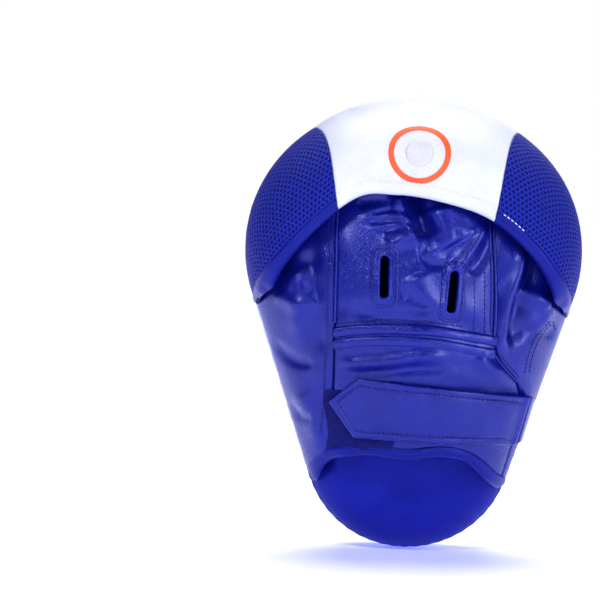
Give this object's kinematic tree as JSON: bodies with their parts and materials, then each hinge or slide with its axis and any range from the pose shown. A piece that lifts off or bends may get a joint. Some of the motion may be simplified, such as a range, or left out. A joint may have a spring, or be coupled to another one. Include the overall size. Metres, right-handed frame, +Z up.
{
  "type": "focus mitt",
  "caption": "Pear-shaped boxing focus mitt: bent foam strike pad with a printed target, and a hooded glove with a hook-and-loop wrist strap on its back",
  "frame": {"origin": "centre of the footprint, at the height of the lowest point of the heel", "axes": "+Z up from the palm heel to the finger tips, +X towards the thumb, +Y out of the strike face, -Y out of the glove side"},
  "size_m": [0.2, 0.0975, 0.27],
  "materials": {
    "face_leather": "satin",
    "glove_leather": "gloss",
    "edge_leather": "satin",
    "white_leather": "satin",
    "white_print": "satin",
    "badge_print": "satin",
    "air_mesh": "matte",
    "lining": "matte",
    "foam": "matte",
    "loop_fabric": "matte",
    "hook_plastic": "matte"
  },
  "bodies": {
    "mitt": {"face_cover": "face_leather", "target_print": "white_print", "face_piping": "white_leather", "gusset": "white_leather", "back_edge_binding": "edge_leather", "strike_foam": "foam", "shock_foam": "foam", "contour_foam": "foam", "back_cover": "face_leather", "heel_cover": "face_leather", "heel_foam": "foam", "palm_lining": "lining", "hood_center_panel": "white_leather", "hood_mesh_left": "air_mesh", "hood_mesh_right": "air_mesh", "hood_foam": "foam", "hood_lining": "lining", "hood_binding_left": "edge_leather", "hood_binding_right": "edge_leather", "hood_badge": "badge_print", "finger_panel": "glove_leather", "thumb_panel": "glove_leather", "little_finger_panel": "glove_leather", "backhand_panel": "glove_leather", "wrist_side_panel": "glove_leather", "backhand_foam": "foam", "glove_lining": "lining", "vent_frame_left": "glove_leather", "vent_frame_right": "glove_leather", "knuckle_welt_upper": "glove_leather", "knuckle_welt_lower": "glove_leather", "wrist_binding": "edge_leather", "loop_panel": "loop_fabric", "strap_anchor": "glove_leather"},
    "strap": {"strap": "glove_leather", "strap_hook": "hook_plastic"}
  },
  "joints": [
    {"name": "strap_peel", "type": "hinge", "parent": "mitt", "child": "strap", "pos_m": [0.0615, -0.02167, 0.0816], "axis": [0.2367, -0.0943, 0.967], "range_deg": [0, 150]}
  ]
}
